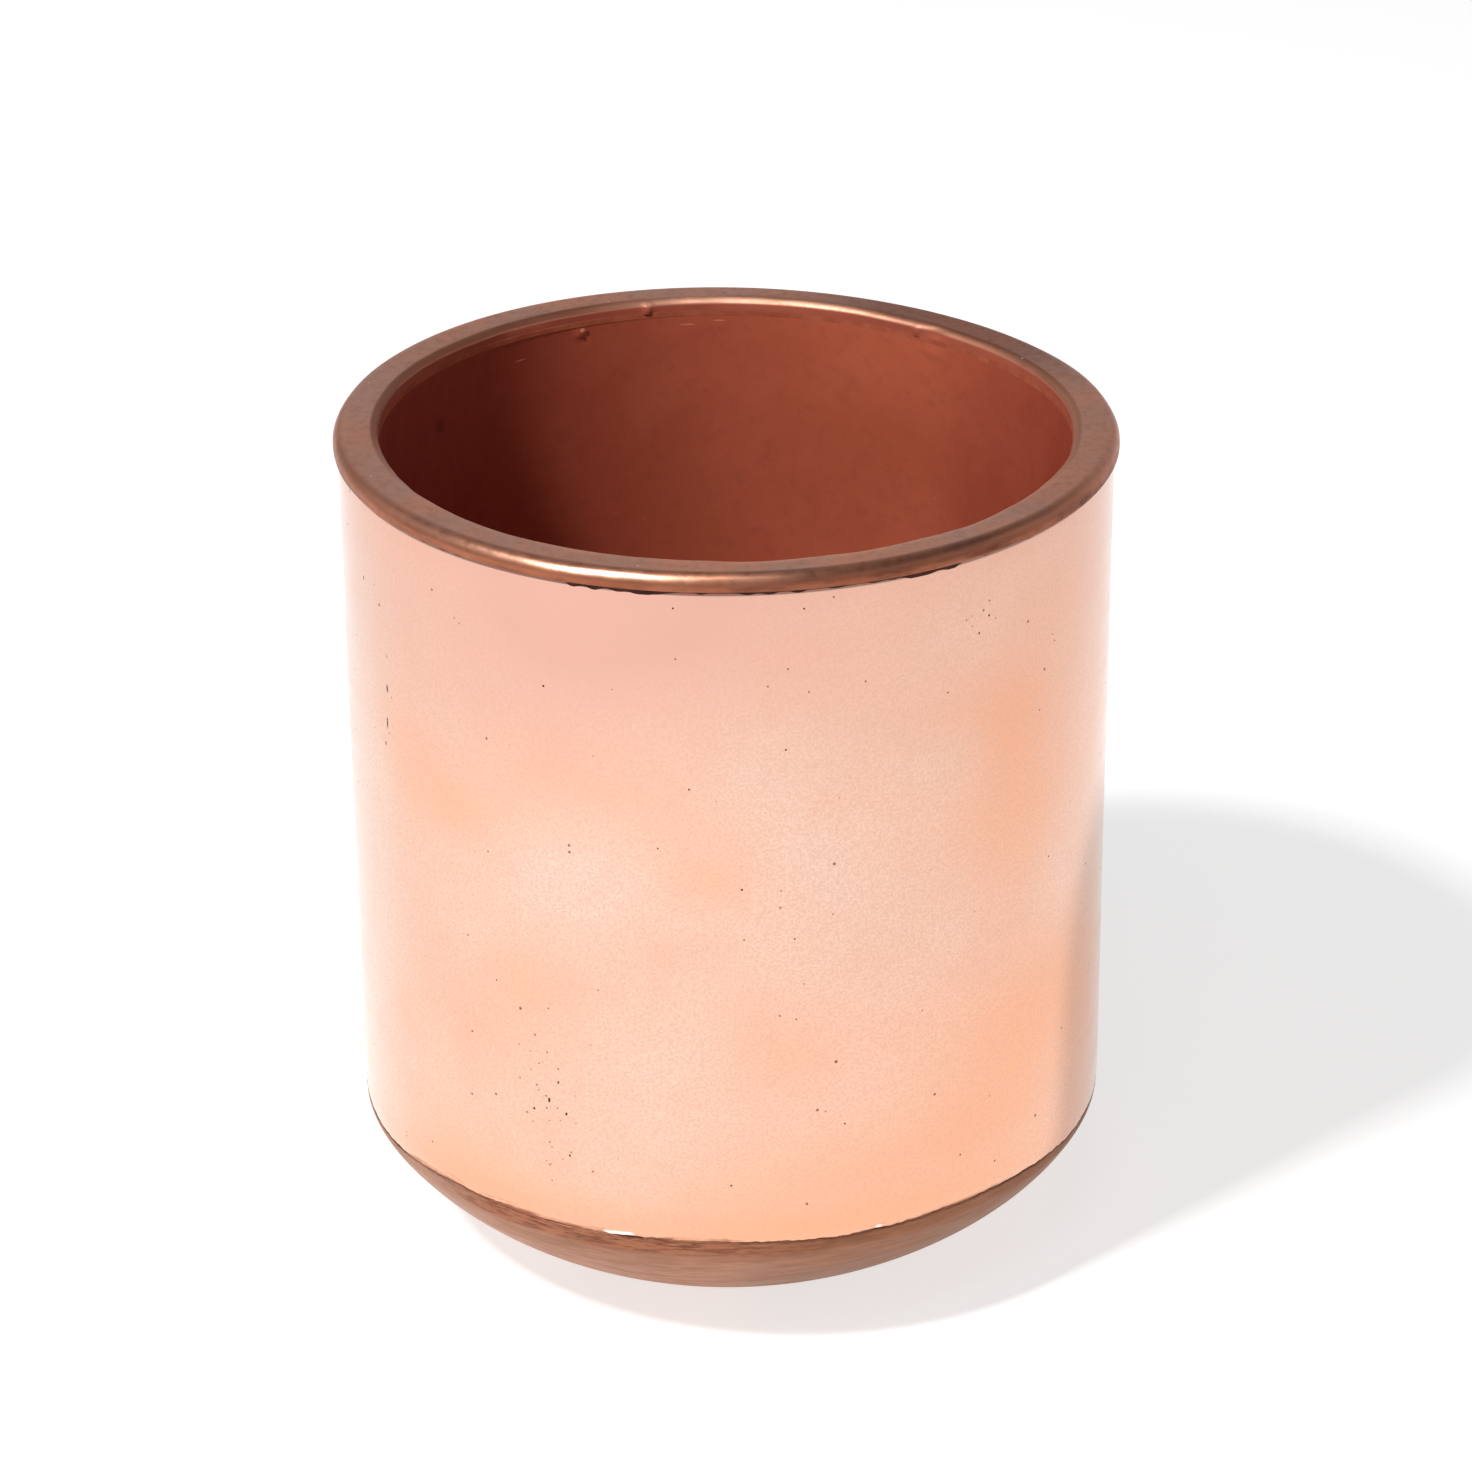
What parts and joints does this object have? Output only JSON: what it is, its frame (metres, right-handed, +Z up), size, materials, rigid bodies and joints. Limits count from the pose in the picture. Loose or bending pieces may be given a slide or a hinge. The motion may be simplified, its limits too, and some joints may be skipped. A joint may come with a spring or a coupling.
{
  "type": "mug",
  "caption": "Handleless double-walled copper mug: polished straight wall, flat bull-nosed rim, matte liner and dull rounded base on a flat foot.",
  "frame": {"origin": "centre of the underside of the foot, on the surface the mug stands on", "axes": "+Z up along the mug's axis, towards the mouth; the shape is turned about +Z, so +X and +Y are any two level directions"},
  "size_m": [0.084, 0.084, 0.0932],
  "materials": {
    "polished_copper": "polished bare copper, fine wipe marks and a few pinholes",
    "brushed_copper": "dull unpolished copper with turning marks running round it",
    "matte_copper": "matte red-brown oxidised copper",
    "satin_copper": "satin brown copper, lightly tarnished, brighter on its edges",
    "braze": "dark brown braze seam, uneven"
  },
  "bodies": {
    "root": {"outer_sleeve": "polished_copper", "base_pan": "brushed_copper", "inner_liner": "matte_copper", "rim_ring": "satin_copper", "rim_outer_solder": "braze", "rim_inner_solder": "braze", "base_solder": "braze"}
  },
  "joints": []
}
